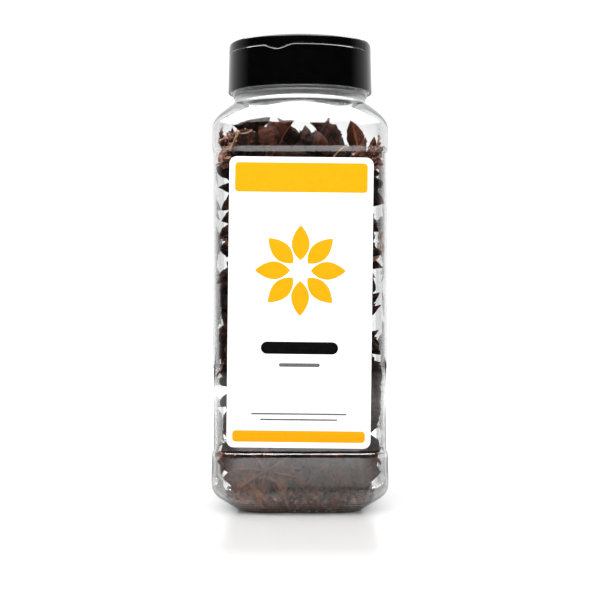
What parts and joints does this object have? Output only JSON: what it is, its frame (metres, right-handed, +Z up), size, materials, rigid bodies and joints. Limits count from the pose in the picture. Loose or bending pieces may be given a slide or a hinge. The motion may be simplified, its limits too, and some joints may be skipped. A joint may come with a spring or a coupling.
{
  "type": "jar of whole star anise",
  "caption": "Tall clear rounded-square spice jar with a round neck, a black screw cap with shut flaps and a front label, filled with whole star anise pods.",
  "frame": {"origin": "middle of the jar's base, on the surface it stands on", "axes": "+Z up along the jar's axis, -Y out of the label"},
  "size_m": [0.0792, 0.0792, 0.214],
  "materials": {
    "clear_plastic": "clear glossy moulded PET plastic",
    "cap_plastic": "black satin moulded polypropylene",
    "label_paper": "white coated label paper with amber and black print",
    "star_anise": "dry wrinkled dark brown woody pods"
  },
  "bodies": {
    "root": {"jar": "clear_plastic", "cap_base": "cap_plastic", "cap_flap_front": "cap_plastic", "cap_flap_back": "cap_plastic", "label": "label_paper", "star_anise": "star_anise"}
  },
  "joints": []
}
